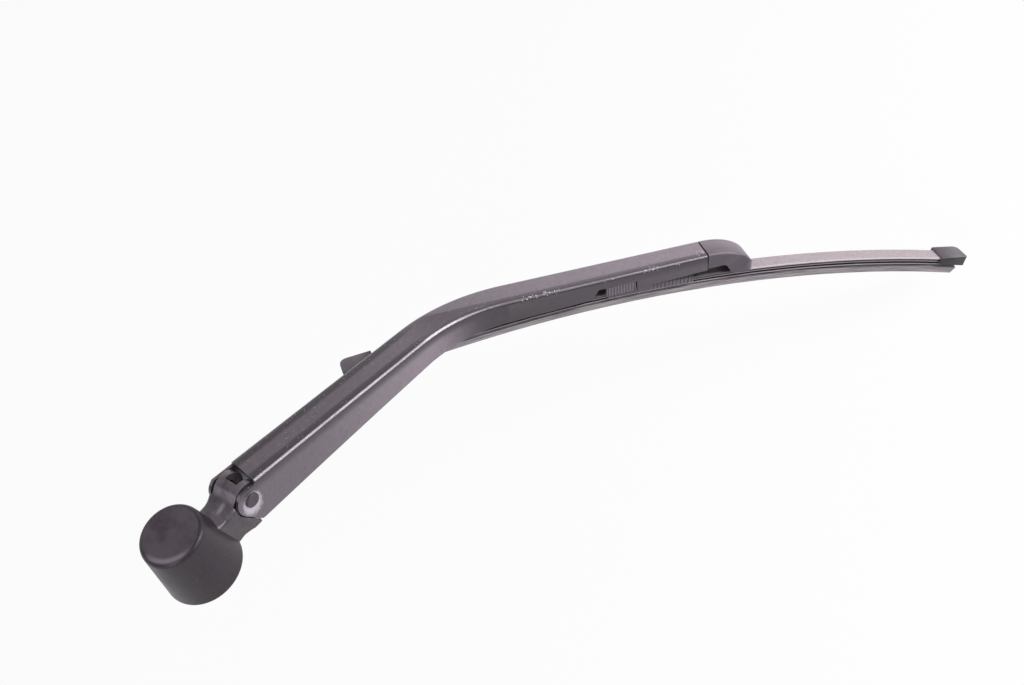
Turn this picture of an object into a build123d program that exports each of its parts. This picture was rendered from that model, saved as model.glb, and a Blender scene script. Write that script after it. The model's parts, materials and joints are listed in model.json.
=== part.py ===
from build123d import *
from math import atan2, cos, degrees, hypot, radians, sin, sqrt, tan
import os

# Rear window wiper arm with a flat blade, millimetres.
# Origin at the centre of the spindle seat on the head's underside, +Z along the spindle,
# +X from the spindle towards the hinge. The arm is shown unloaded, at its lower stop.

# Spindle seat and nut pocket in the head
spindle_seat_r = 5.0
spindle_seat_depth = 10.0
spindle_thread_r = 4.1
seat_cone_length = 1.2
nut_seat_z = 13.0
nut_pocket_r = 9.6

# Round cover over the nut
cover_height = 31.0
cover_base_r = 17.7
cover_top_r = 13.9
cover_wall = 2.0
cover_roof = 2.4
cover_rim_radius = 2.6
cover_foot_radius = 0.6
cover_clearance = 0.35
cover_mouth_gap = 1.0

# Head casting: boss, waisted neck, forked knuckle
boss_height = 18.5
neck_half_width = 7.4
neck_straight_end = 18.0
shoulder_half_width = 8.6
shoulder_x = 24.5
saddle_low_x = 19.5
saddle_low_z = 15.9
neck_edge_radius = 2.0
underside_start = 19.5
underside_sag = 2.3
hinge_x = 31.3
hinge_z = 13.1
knuckle_r = 6.9
fork_half_width = 6.4
fork_slot_half = 3.5
slot_back_x = 27.6
slot_bend_z = 12.6
slot_roof_gap = 0.7
slot_roof_reach = 0.8
spring_pin_drop = 6.6
spring_pin_back = 0.4
spring_pin_r = 1.9
spring_pin_wall = 2.4

# Hinge rivet and its two flanged bushes
rivet_r = 2.75
rivet_head_r = 3.4
rivet_head_height = 0.9
rivet_head_rounding = 0.6
running_clearance = 0.03
press_clearance = 0.01
bush_wall = 0.85
bush_flange_r = 5.4
bush_flange_thickness = 0.8

# Pressed steel channel of the arm
lean_deg = 21.8
hinge_drop = 7.9
top_end = 4.9
end_skew_deg = 11.5
first_length = 108.8
bend_radius = 85.6
bend_deg = 34.9
second_length = 102.4
head_half_width = 8.5
tip_half_width = 7.0
sheet = 1.3
flare_deg = 3.5
corner_radius = 2.2
head_wall_height = 21.0
middle_wall_height = 12.7
tip_wall_height = 8.3
ear_start = 1.9
ear_r = 7.4
ear_gap = 0.8
ear_foot_r = 2.0

# Notch for the release tabs and the lug beside it, distances back from the arm's tip
notch_start = 57.0
notch_end = 37.0
notch_top = 5.2
notch_corner_radius = 1.6
notch_run_in = 3.6
lug_end = 31.2
lug_drop = 2.4
lug_run_out = 3.6

# Spring, its anchor and the hooked link to the head
anchor_u = 96.0
anchor_w = -1.1
anchor_width = 7.0
anchor_thickness = 1.8
anchor_web = 5.0
anchor_flange = 9.0
eyelet_r = 1.5
eyelet_wall = 1.5
link_width = 6.0
link_thickness = 2.2
link_eye_wall = 1.4
link_reach = 24.0
link_depth = 4.9
link_bend_radius = 2.0
spring_r = 4.4
spring_wire_r = 0.9
spring_loop_r = 3.4
spring_loop_lead = 1.8

# Blade and its bow
blade_length = 340.0
bow_radius = 680.0
blade_tilt_deg = 3.4
tip_reach = 14.3
tip_height = 13.3
rail_half_width = 4.1
rail_gap = 1.6
rail_thickness = 0.9
fit_clearance = 0.06

# Rubber element, read downwards from its flat back, which covers the rails
back_thickness = 0.8
shoulder_half = 3.2
shoulder_depth = 1.3
groove_half = 1.5
groove_height = 0.8
rib_half = 2.9
rib_height = 1.0
lip_neck_half = 0.6
lip_neck_height = 0.9
lip_shoulder_half = 2.3
lip_edge_half = 0.35
blade_depth = 11.0
rubber_chamfer = 0.35

# End caps
cap_length = 16.0
cap_half_width = 5.4
cap_top = 1.2
cap_end_top = 2.5
cap_bottom = 3.2
cap_end_wall = 1.6
cap_edge_radius = 0.8
cap_slot_clearance = 0.25

# Bracket on the blade and the pivot
bracket_from = -36.0
bracket_to = 9.0
bracket_half_width = 5.0
bracket_top = 1.9
bracket_bottom = 2.6
pivot_back = 27.0
pivot_drop = 5.4
pivot_pin_r = 1.8
hub_r = 3.4
hub_half_width = 3.2
hub_foot = 9.0
bracket_groove_count = 22

# Plastic adapter in the arm's end, with its nose
adapter_back = 53.0
adapter_half_width = 5.4
adapter_inner_half = 3.6
adapter_top_gap = 0.1
adapter_skirt = 5.8
adapter_cheek_half = 6.0
adapter_cheek_drop = 8.0
adapter_bridge = 6.0
tab_front_gap = 0.6
tab_back_gap = 4.3
tab_bottom = 10.6
tab_inner_half = 5.5
tab_groove_count = 10
grip_groove_width = 0.7
grip_groove_depth = 0.35
nose_gap = 0.8
nose_half_width = 6.9
nose_length = 26.2
nose_flat = 1.5
nose_depth = 15.2
nose_belly = 8.2
nose_belly_end = 8.2
nose_lobe_start = 16.5
nose_lobe_drop = 14.7
nose_wall = 1.6
nose_corner_radius = 5.0
nose_edge_radius = 1.8
scoop_radius = 14.0
scoop_depth = 0.7
scoop_deg = 28.0
scoop_x = 18.0
scoop_drop = 8.0
arch_roof = 6.4
arch_front = 11.0


# Frames of the arm: plan and side view, both with their origin on the hinge
lean = radians(lean_deg)
flare = radians(flare_deg)
bend = radians(bend_deg)
far = Vector(0, 1, 0)
hinge = Vector(hinge_x, 0, hinge_z)
arm_along = Vector(cos(lean), 0, -sin(lean))
arm_up = Vector(sin(lean), 0, cos(lean))
arm_plan = Plane(origin=hinge, x_dir=arm_along, z_dir=arm_up)
arm_side = Plane(origin=hinge, x_dir=arm_along, z_dir=far * -1)

bend_start = top_end + first_length
arm_length = first_length + bend_radius * bend + second_length


def station(s):
    """Centre line of the arm in plan: point and turn at s along it from the top face's end."""
    if s <= first_length:
        return top_end + s, 0.0, 0.0
    turn = min((s - first_length) / bend_radius, bend)
    straight = s - first_length - turn * bend_radius
    u = bend_start + bend_radius * sin(turn) + straight * cos(turn)
    v = -bend_radius * (1 - cos(turn)) - straight * sin(turn)
    return u, v, turn


def station_plane(s):
    """Cross-section of the arm at s: x to the far side, y up, with y zero on the top face."""
    u, v, turn = station(s)
    origin = hinge + arm_along * u + far * v + arm_up * hinge_drop
    return Plane(
        origin=origin,
        x_dir=arm_along * sin(turn) + far * cos(turn),
        z_dir=arm_along * cos(turn) - far * sin(turn),
    )


def wall_height(s):
    """Height of the channel's side walls, a parabola through the three driving heights."""
    q = 1 - s / arm_length
    return (
        tip_wall_height * (1 - q) * (1 - 2 * q)
        + middle_wall_height * 4 * q * (1 - q)
        + head_wall_height * q * (2 * q - 1)
    )


# Frames of the arm's end: origin on the top face at the tip
tip_section = station_plane(arm_length)
tip = tip_section.origin
tip_along = tip_section.z_dir
tip_across = tip_section.x_dir
tip_side = Plane(origin=tip, x_dir=tip_along, z_dir=tip_across * -1)
tip_plan = Plane(origin=tip, x_dir=tip_along, z_dir=arm_up)

# Frames of the blade, which is bowed about an axis far below its middle
tilt = radians(blade_tilt_deg)
blade_along = tip_along * cos(tilt) - arm_up * sin(tilt)
blade_up = tip_along * sin(tilt) + arm_up * cos(tilt)
blade_middle = tip - blade_along * tip_reach - blade_up * tip_height
bow_centre = blade_middle - blade_up * bow_radius
bow_axis = Axis(bow_centre, tip_across)


def bow_plane(s):
    """Cross-section of the blade at s from its middle: x to the far side, y up from the rubber's back."""
    turn = s / bow_radius
    outward = blade_along * sin(turn) + blade_up * cos(turn)
    return Plane(
        origin=bow_centre + outward * bow_radius,
        x_dir=tip_across,
        z_dir=blade_along * cos(turn) - blade_up * sin(turn),
    )


def bow_angle(length):
    return degrees(length / bow_radius)


def save(built, name):
    built.part.label = name
    export_step(built.part, f"parts/{name}.step")


os.makedirs("parts", exist_ok=True)

# Head casting: the neck and fork first, then the boss round the spindle
cover_slope = (cover_base_r - cover_top_r) / cover_height
boss_base_r = cover_base_r - cover_wall - cover_clearance
boss_top_r = boss_base_r - cover_slope * boss_height
spring_pin = arm_plan.from_local_coords((-spring_pin_back, 0, -spring_pin_drop))
saddle_rise = saddle_low_z - hinge_z
saddle_run = hinge_x - saddle_low_x
saddle_r = (saddle_run**2 + saddle_rise**2 - knuckle_r**2) / (2 * (knuckle_r - saddle_rise))
saddle_root_z = saddle_low_z + saddle_r - sqrt(saddle_r**2 - (saddle_low_x - boss_top_r) ** 2)
join_share = knuckle_r / (saddle_r + knuckle_r)
saddle_join = (
    hinge_x - saddle_run * join_share,
    hinge_z + (saddle_rise + saddle_r) * join_share,
)
fork_foot_r = spring_pin_r + spring_pin_wall
slot_low_x = spring_pin.X - spring_pin_r - link_eye_wall - 2 * cover_clearance
far_reach = hinge_x + 2 * knuckle_r

with BuildPart() as arm_head:
    with BuildSketch(Plane.XZ):
        with BuildLine():
            Line((0, 0), (0, saddle_root_z))
            Line((0, saddle_root_z), (boss_top_r, saddle_root_z))
            ThreePointArc(
                (boss_top_r, saddle_root_z), (saddle_low_x, saddle_low_z), saddle_join
            )
            Polyline(
                saddle_join,
                (hinge_x, hinge_z),
                (spring_pin.X, -underside_sag),
                (underside_start, 0),
                (0, 0),
            )
        make_face()
        with Locations((hinge_x, hinge_z)):
            Circle(knuckle_r)
        with BuildSketch(mode=Mode.PRIVATE) as fork_outline:
            with Locations((hinge_x, hinge_z)):
                Circle(knuckle_r)
            with Locations((spring_pin.X, spring_pin.Z)):
                Circle(fork_foot_r)
            make_hull()
        add(fork_outline.sketch)
    extrude(amount=shoulder_half_width, both=True)
    with BuildSketch(Plane.XY) as neck_plan:
        with BuildLine():
            Polyline((far_reach, 0), (0, 0), (0, neck_half_width), (neck_straight_end, neck_half_width))
            TangentArc(
                (neck_straight_end, neck_half_width),
                (shoulder_x, shoulder_half_width),
                tangent=(1, 0),
            )
            Polyline(
                (shoulder_x, shoulder_half_width),
                (far_reach, shoulder_half_width),
                (far_reach, 0),
            )
        make_face()
        mirror(about=Plane.XZ)
    extrude(amount=cover_height, both=True, mode=Mode.INTERSECT)
    saddle = arm_head.faces().sort_by_distance((saddle_low_x, 0, saddle_low_z))[0]
    fillet(
        saddle.edges().filter_by(lambda e: abs(e.center().Y) > neck_half_width / 2),
        neck_edge_radius,
    )
    # Room for the arm's ears on both sides of the fork
    with BuildSketch(arm_side) as ear_room:
        Circle(ear_r + ear_gap)
        with Locations((ear_foot_r + ear_start, ear_foot_r + hinge_drop - head_wall_height)):
            Circle(ear_foot_r + ear_gap)
        make_hull()
        with Locations((knuckle_r + ear_r, 0)):
            Rectangle(2 * knuckle_r, 4 * ear_r)
    ear_block = extrude(amount=2 * shoulder_half_width, both=True, mode=Mode.PRIVATE)
    with BuildSketch(Plane.XZ):
        with Locations((hinge_x, hinge_z)):
            Rectangle(8 * knuckle_r, 8 * knuckle_r)
    fork_core = extrude(amount=fork_half_width, both=True, mode=Mode.PRIVATE)
    add(ear_block - fork_core, mode=Mode.SUBTRACT)
    # Slot of the fork, deeper round the spring pin and roofed over behind the rivet
    slot_roof_z = hinge_z + rivet_r + slot_roof_gap
    with BuildSketch(Plane.XZ):
        Polygon(
            (slot_low_x, -knuckle_r),
            (slot_low_x, spring_pin.Z + fork_foot_r),
            (slot_back_x, slot_bend_z),
            (slot_back_x, slot_roof_z),
            (hinge_x + slot_roof_reach, slot_roof_z),
            (hinge_x + slot_roof_reach, 2 * hinge_z),
            (far_reach, 2 * hinge_z),
            (far_reach, -knuckle_r),
            align=None,
        )
    extrude(amount=fork_slot_half, both=True, mode=Mode.SUBTRACT)
    # Holes for the bushes and the spring pin
    with BuildSketch(Plane.XZ):
        with Locations((hinge_x, hinge_z)):
            Circle(rivet_r + running_clearance + bush_wall)
        with Locations((spring_pin.X, spring_pin.Z)):
            Circle(spring_pin_r)
    extrude(amount=shoulder_half_width, both=True, mode=Mode.SUBTRACT)
    # Boss with the spindle seat, the thread's clearance and the nut pocket
    with BuildSketch(Plane.XZ):
        with BuildLine():
            Polyline(
                (0, 0),
                (boss_base_r, 0),
                (boss_top_r, boss_height),
                (0, boss_height),
                (0, 0),
            )
        make_face()
    revolve(axis=Axis.Z)
    with BuildSketch(Plane.XZ):
        with BuildLine():
            Polyline(
                (0, 0),
                (spindle_seat_r, 0),
                (spindle_seat_r, spindle_seat_depth),
                (spindle_thread_r, spindle_seat_depth + seat_cone_length),
                (spindle_thread_r, nut_seat_z),
                (nut_pocket_r, nut_seat_z),
                (nut_pocket_r, cover_height),
                (0, cover_height),
                (0, 0),
            )
        make_face()
    revolve(axis=Axis.Z, mode=Mode.SUBTRACT)
save(arm_head, "arm_head")

# Spring pin across the fork
with BuildPart() as spring_pin_part:
    with BuildSketch(Plane.XZ):
        with Locations((spring_pin.X, spring_pin.Z)):
            Circle(spring_pin_r - press_clearance)
    extrude(amount=fork_half_width, both=True)
    chamfer(spring_pin_part.edges(), spring_pin_r / 6)
save(spring_pin_part, "spring_pin")

# Flanged bushes, pressed into the fork from both sides
for side, name in ((-1, "hinge_bush_near"), (1, "hinge_bush_far")):
    outside = Plane(
        origin=hinge + far * side * fork_slot_half, x_dir=(1, 0, 0), z_dir=far * side
    )
    with BuildPart() as bush:
        with BuildSketch(outside):
            Circle(rivet_r + running_clearance + bush_wall - press_clearance)
        extrude(amount=fork_half_width - fork_slot_half)
        with BuildSketch(outside.offset(fork_half_width - fork_slot_half)):
            Circle(bush_flange_r)
        extrude(amount=bush_flange_thickness)
        with BuildSketch(outside):
            Circle(rivet_r + running_clearance)
        extrude(amount=2 * fork_half_width, mode=Mode.SUBTRACT)
    save(bush, name)

# Round cover, a tapered thimble with a mouth for the neck
with BuildPart() as head_cover:
    with BuildSketch(Plane.XZ):
        with BuildLine():
            Polyline(
                (0, 0),
                (cover_base_r, 0),
                (cover_top_r, cover_height),
                (0, cover_height),
                (0, 0),
            )
        make_face()
    revolve(axis=Axis.Z)
    fillet(head_cover.edges().group_by(Axis.Z)[-1], cover_rim_radius)
    fillet(head_cover.edges().group_by(Axis.Z)[0], cover_foot_radius)
    roof_z = cover_height - cover_roof
    with BuildSketch(Plane.XZ):
        with BuildLine():
            Polyline(
                (0, 0),
                (cover_base_r - cover_wall, 0),
                (cover_base_r - cover_wall - cover_slope * roof_z, roof_z),
                (0, roof_z),
                (0, 0),
            )
        make_face()
    revolve(axis=Axis.Z, mode=Mode.SUBTRACT)
    mouth_half = neck_half_width + cover_clearance
    mouth_top = saddle_root_z + cover_mouth_gap
    with BuildSketch(Plane.YZ):
        with Locations((0, mouth_top / 2)):
            Rectangle(2 * mouth_half, mouth_top)
    extrude(amount=2 * cover_base_r, mode=Mode.SUBTRACT)
    mouth_edges = head_cover.edges().filter_by(Axis.X).group_by(Axis.Z)[-1]
    fillet(mouth_edges, 2 * cover_mouth_gap)
save(head_cover, "head_cover")


def plan_outline(half_change, run_over):
    """Outline of the arm in plan, its half width changed and its ends run over."""
    middle = (head_half_width + tip_half_width) / 2 + half_change
    head_half = head_half_width + half_change
    tip_half = tip_half_width + half_change
    apex_u = bend_start + bend_radius * tan(bend / 2)
    across = middle / cos(bend / 2)
    apex_far = (apex_u + across * sin(bend / 2), across * cos(bend / 2))
    apex_near = (apex_u - across * sin(bend / 2), -across * cos(bend / 2))
    tip_u, tip_v, turn = station(arm_length + run_over)
    with BuildSketch(Plane.XY) as outline:
        with BuildLine():
            Polyline(
                (top_end - run_over, -head_half),
                apex_near,
                (tip_u - tip_half * sin(turn), tip_v - tip_half * cos(turn)),
                (tip_u + tip_half * sin(turn), tip_v + tip_half * cos(turn)),
                apex_far,
                (top_end - run_over, head_half),
                close=True,
            )
        make_face()
        fillet(outline.vertices().sort_by_distance(apex_far)[0], bend_radius + middle)
        fillet(outline.vertices().sort_by_distance(apex_near)[0], bend_radius - middle)
    return outline.sketch


# Solids the channel is cut with: the space below its side walls, and its hollow
channel_depth = head_wall_height + 2 * lug_drop
run_over = 2 * ear_r
top_plan = arm_plan.offset(hinge_drop)
foot_plan = top_plan.offset(-channel_depth)
foot_spread = channel_depth * tan(flare)
wall_across = sheet / cos(flare)
foot_stations = (-run_over, 0, arm_length / 3, 2 * arm_length / 3, arm_length + run_over)
foot_line = [(station(s)[0], hinge_drop - wall_height(s)) for s in foot_stations]

with BuildPart() as below_walls:
    with BuildSketch(arm_side):
        with BuildLine():
            Spline(*foot_line)
            Polyline(
                foot_line[-1],
                (foot_line[-1][0], -3 * channel_depth),
                (foot_line[0][0], -3 * channel_depth),
                foot_line[0],
            )
        make_face()
    extrude(amount=arm_length, both=True)
    # The lug in front of the notch stays longer than the wall beside it
    lug_foot = -wall_height(arm_length - notch_end) - lug_drop
    with BuildSketch(tip_side):
        Polygon(
            (-notch_end, 0),
            (-notch_end, lug_foot),
            (-lug_end, lug_foot),
            (-lug_end + lug_run_out, lug_foot + lug_drop + tip_wall_height / 8),
            (-lug_end + lug_run_out, 0),
            align=None,
        )
    extrude(amount=4 * head_half_width, both=True, mode=Mode.SUBTRACT)

with BuildPart() as channel_hollow:
    with BuildSketch(foot_plan):
        add(plan_outline(foot_spread - wall_across, 2 * run_over))
    with BuildSketch(top_plan.offset(-sheet)):
        add(plan_outline(sheet * tan(flare) - wall_across, 2 * run_over))
    loft(ruled=True)
    roof_edges = channel_hollow.faces().sort_by(Axis(hinge, arm_up))[-1].edges()
    fillet(roof_edges.filter_by(lambda e: e.length > 4 * head_half_width), corner_radius - sheet)

# Pressed steel channel, flared and rounded along its bends
hinge_face = head_half_width + hinge_drop * tan(flare)
with BuildPart() as arm_channel:
    with BuildSketch(foot_plan):
        add(plan_outline(foot_spread, run_over))
    with BuildSketch(top_plan):
        add(plan_outline(0, run_over))
    loft(ruled=True)
    top_edges = arm_channel.faces().sort_by(Axis(hinge, arm_up))[-1].edges()
    fillet(top_edges.filter_by(lambda e: e.length > 4 * head_half_width), corner_radius)
    add(channel_hollow.part, mode=Mode.SUBTRACT)
    add(below_walls.part, mode=Mode.SUBTRACT)
    # Square end at the tip
    with BuildSketch(tip_section):
        Rectangle(8 * head_half_width, 4 * channel_depth)
    extrude(amount=4 * run_over, mode=Mode.SUBTRACT)
    # Top face ends short of the hinge on a skewed line
    skew = tan(radians(end_skew_deg)) * head_half_width
    with BuildSketch(arm_plan.offset(hinge_drop - corner_radius)):
        Polygon(
            (top_end - skew, -3 * head_half_width),
            (top_end - skew, -head_half_width),
            (top_end + skew, head_half_width),
            (top_end + skew, 3 * head_half_width),
            (-4 * run_over, 3 * head_half_width),
            (-4 * run_over, -3 * head_half_width),
            align=None,
        )
    extrude(amount=2 * corner_radius, mode=Mode.SUBTRACT)
    # Ears rounded about the hinge
    with BuildSketch(arm_side):
        with Locations((ear_start + ear_foot_r - 2 * run_over, 0)):
            Rectangle(4 * run_over, 6 * channel_depth)
        with BuildSketch(mode=Mode.PRIVATE) as ear_outline:
            Circle(ear_r)
            foot_at = (ear_foot_r + ear_start, ear_foot_r + hinge_drop - wall_height(0))
            with Locations(foot_at):
                Circle(ear_foot_r)
            make_hull()
        add(ear_outline.sketch, mode=Mode.SUBTRACT)
    extrude(amount=4 * head_half_width, both=True, mode=Mode.SUBTRACT)
    with BuildSketch(arm_side):
        Circle(rivet_r + press_clearance)
    extrude(amount=4 * head_half_width, both=True, mode=Mode.SUBTRACT)
    # Notches for the release tabs
    with BuildSketch(tip_side) as notch:
        Polygon(
            (-notch_start - notch_run_in, -2 * channel_depth),
            (-notch_start - notch_run_in, -2 * notch_top),
            (-notch_start, -notch_top),
            (-notch_end, -notch_top),
            (-notch_end, -2 * channel_depth),
            align=None,
        )
        fillet(notch.vertices().group_by(Axis.Y)[-1], notch_corner_radius / 2)
    extrude(amount=4 * head_half_width, both=True, mode=Mode.SUBTRACT)
save(arm_channel, "arm_channel")

# Hinge rivet through both ears and both bushes
with BuildPart() as hinge_rivet:
    head_seat = hinge_face + rivet_head_r * tan(flare) + press_clearance
    with BuildSketch(Plane.XZ):
        with Locations((hinge_x, hinge_z)):
            Circle(rivet_r)
    extrude(amount=head_seat, both=True)
    for side in (-1, 1):
        with BuildSketch(
            Plane(origin=hinge + far * side * head_seat, x_dir=(1, 0, 0), z_dir=far * side)
        ):
            Circle(rivet_head_r)
        extrude(amount=rivet_head_height)
    rims = hinge_rivet.edges().filter_by(GeomType.CIRCLE).group_by(Axis.Y)
    fillet(rims[0] + rims[-1], rivet_head_rounding)
save(hinge_rivet, "hinge_rivet")

# Line of the spring: from the spring pin to the anchor under the top plate
pull_angle = atan2(anchor_w + spring_pin_drop, anchor_u + spring_pin_back)
pull_length = hypot(anchor_u + spring_pin_back, anchor_w + spring_pin_drop)
pull_along = arm_along * cos(pull_angle) + arm_up * sin(pull_angle)
pull_side = Plane(origin=spring_pin, x_dir=pull_along, z_dir=far * -1)

# Hooked link, bent to pass under the rivet
with BuildPart() as spring_link:
    eye_r = spring_pin_r + link_eye_wall
    with BuildLine(pull_side) as link_path:
        FilletPolyline(
            (0, -eye_r + link_thickness / 2),
            (link_depth / 2, -link_depth),
            (2 * link_depth, -link_depth),
            (3 * link_depth, 0),
            (link_reach + eyelet_r + eyelet_wall, 0),
            radius=link_bend_radius,
        )
    with BuildSketch(Plane(link_path.line @ 0, x_dir=far, z_dir=link_path.line % 0)):
        Rectangle(link_width, link_thickness)
    sweep()
    with BuildSketch(pull_side):
        Circle(eye_r)
    extrude(amount=link_width / 2, both=True)
    with BuildSketch(pull_side):
        Circle(spring_pin_r + running_clearance)
    extrude(amount=link_width, both=True, mode=Mode.SUBTRACT)
    link_face = Plane(
        origin=pull_side.from_local_coords((link_reach, 0)),
        x_dir=pull_along,
        z_dir=pull_side.y_dir,
    )
    with BuildSketch(link_face):
        Circle(eyelet_r)
    extrude(amount=link_thickness, both=True, mode=Mode.SUBTRACT)
save(spring_link, "spring_link")

# Anchor welded under the top plate, its lower flange lies along the pull
with BuildPart() as spring_anchor:
    roof_w = hinge_drop - sheet
    web_u = anchor_u + anchor_web
    with BuildSketch(arm_side):
        Polygon(
            (web_u - anchor_thickness, anchor_w),
            (web_u, anchor_w),
            (web_u, roof_w - anchor_thickness),
            (web_u + anchor_flange, roof_w - anchor_thickness),
            (web_u + anchor_flange, roof_w),
            (web_u - anchor_thickness, roof_w),
            align=None,
        )
    extrude(amount=anchor_width / 2, both=True)
    lip_length = eyelet_r + eyelet_wall
    with BuildSketch(pull_side):
        with Locations((pull_length + (anchor_web - lip_length) / 2, 0)):
            Rectangle(anchor_web + lip_length, anchor_thickness)
    extrude(amount=anchor_width / 2, both=True)
    anchor_face = Plane(
        origin=pull_side.from_local_coords((pull_length, 0)),
        x_dir=pull_along,
        z_dir=pull_side.y_dir,
    )
    with BuildSketch(anchor_face):
        Circle(eyelet_r)
    extrude(amount=anchor_thickness, both=True, mode=Mode.SUBTRACT)
save(spring_anchor, "spring_anchor")

# Close-wound tension spring with a loop at each end
with BuildPart() as tension_spring:
    head_loop_x = link_reach + spring_loop_r
    anchor_loop_x = pull_length - spring_loop_r
    coil_from = head_loop_x + spring_loop_lead - spring_wire_r
    coil_to = anchor_loop_x - spring_loop_lead + spring_wire_r
    turn_count = int((coil_to - coil_from) / (2 * spring_wire_r))
    coil_step = (coil_to - coil_from) / turn_count
    with BuildSketch(pull_side):
        with BuildLine():
            for i in range(turn_count):
                start = (coil_from + i * coil_step, spring_r - spring_wire_r)
                top = (coil_from + (i + 0.5) * coil_step, spring_r)
                end = (coil_from + (i + 1) * coil_step, spring_r - spring_wire_r)
                Polyline(start, top, end)
            Polyline(
                (coil_to, spring_r - spring_wire_r),
                (coil_to, spring_r - 2 * spring_wire_r),
                (coil_from, spring_r - 2 * spring_wire_r),
                (coil_from, spring_r - spring_wire_r),
            )
        make_face()
    revolve(axis=Axis(spring_pin, pull_along))
    for loop_x, lead in ((head_loop_x, spring_loop_lead), (anchor_loop_x, -spring_loop_lead)):
        turn_x = loop_x - spring_loop_r if lead > 0 else loop_x + spring_loop_r
        with BuildLine(pull_side) as loop_path:
            Line((loop_x + lead, spring_loop_r), (loop_x, spring_loop_r))
            ThreePointArc((loop_x, spring_loop_r), (turn_x, 0), (loop_x, -spring_loop_r))
            Line((loop_x, -spring_loop_r), (loop_x + lead, -spring_loop_r))
        with BuildSketch(Plane(loop_path.line @ 0, x_dir=far, z_dir=loop_path.line % 0)):
            Circle(spring_wire_r)
        sweep()
save(tension_spring, "tension_spring")

# Two spring-steel rails, one in each side groove of the rubber
rail_half_length = blade_length / 2 - cap_end_wall - cap_slot_clearance
rail_width = rail_half_width - rail_gap / 2
rail_top = -back_thickness - fit_clearance
for side, name in ((-1, "rail_near"), (1, "rail_far")):
    with BuildPart() as rail:
        with BuildSketch(bow_plane(-rail_half_length)):
            with Locations((side * (rail_gap / 2 + rail_width / 2), rail_top - rail_thickness / 2)):
                Rectangle(rail_width, rail_thickness)
        revolve(axis=bow_axis, revolution_arc=bow_angle(2 * rail_half_length))
    save(rail, name)

# Rubber element, one extruded profile
shoulder_top = rail_top - rail_thickness - fit_clearance
groove_top = shoulder_top - shoulder_depth
rib_top = groove_top - groove_height
neck_top = rib_top - rib_height
lip_top = neck_top - lip_neck_height
spine_half = rail_gap / 2 - fit_clearance
with BuildPart() as wiper_rubber:
    with BuildSketch(bow_plane(-rail_half_length)):
        with BuildLine():
            Polyline(
                (0, 0),
                (rail_half_width - rubber_chamfer, 0),
                (rail_half_width, -rubber_chamfer),
                (rail_half_width, -back_thickness),
                (spine_half, -back_thickness),
                (spine_half, shoulder_top),
                (shoulder_half, shoulder_top),
                (shoulder_half, groove_top + rubber_chamfer),
                (groove_half, groove_top),
                (groove_half, rib_top),
                (rib_half, rib_top - rubber_chamfer),
                (rib_half, neck_top + rubber_chamfer),
                (lip_neck_half, neck_top),
                (lip_neck_half, lip_top),
                (lip_shoulder_half, lip_top - 2 * rubber_chamfer),
                (lip_edge_half, -blade_depth),
                (0, -blade_depth),
                close=True,
            )
        make_face()
        mirror(about=Plane.YZ)
    revolve(axis=bow_axis, revolution_arc=bow_angle(2 * rail_half_length))
save(wiper_rubber, "wiper_rubber")


def clamp_room():
    """Space inside a clamp on the blade: the back with the rails, and the rubber below."""
    room_height = -shoulder_top + fit_clearance
    with BuildSketch(Plane.XY) as room:
        with Locations((0, fit_clearance - room_height / 2)):
            Rectangle(2 * (rail_half_width + fit_clearance), room_height)
        with Locations((0, -blade_depth / 2)):
            Rectangle(2 * (shoulder_half + cap_slot_clearance), blade_depth)
    return room.sketch


# End caps, moulded wedges, open underneath for the rubber
for side, name in ((-1, "end_cap_inner"), (1, "end_cap_outer")):
    outer_end = blade_length / 2
    from_s = -outer_end if side < 0 else outer_end - cap_length
    room_s = from_s + cap_end_wall if side < 0 else from_s - cap_end_wall
    with BuildPart() as end_cap:
        mouth = bow_plane(side * (outer_end - cap_length))
        with BuildSketch(Plane(mouth.origin, mouth.z_dir * side, tip_across * -side)):
            Polygon(
                (0, -cap_bottom),
                (0, cap_top),
                (cap_length, cap_end_top),
                (cap_length, -cap_bottom),
                align=None,
            )
        extrude(amount=cap_half_width, both=True)
        cap_roof = end_cap.faces().sort_by(Axis(mouth.origin, mouth.y_dir))[-1]
        cap_end = end_cap.faces().sort_by(Axis(mouth.origin, mouth.z_dir * side))[-1]
        roof_sides = cap_roof.edges().filter_by(Axis(mouth.origin, tip_across), reverse=True)
        fillet(cap_end.edges() + roof_sides, cap_edge_radius)
        with BuildSketch(bow_plane(room_s)):
            add(clamp_room())
        revolve(axis=bow_axis, revolution_arc=bow_angle(cap_length), mode=Mode.SUBTRACT)
    save(end_cap, name)

# Pivot between the adapter and the blade's bracket
pivot = tip_side.from_local_coords((-pivot_back, -pivot_drop))
blade_side = Plane(origin=pivot, x_dir=blade_along, z_dir=tip_across * -1)
with BuildPart() as pivot_pin:
    with BuildSketch(blade_side):
        Circle(pivot_pin_r)
    extrude(amount=adapter_half_width, both=True)
    chamfer(pivot_pin.edges(), pivot_pin_r / 6)
save(pivot_pin, "pivot_pin")

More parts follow.
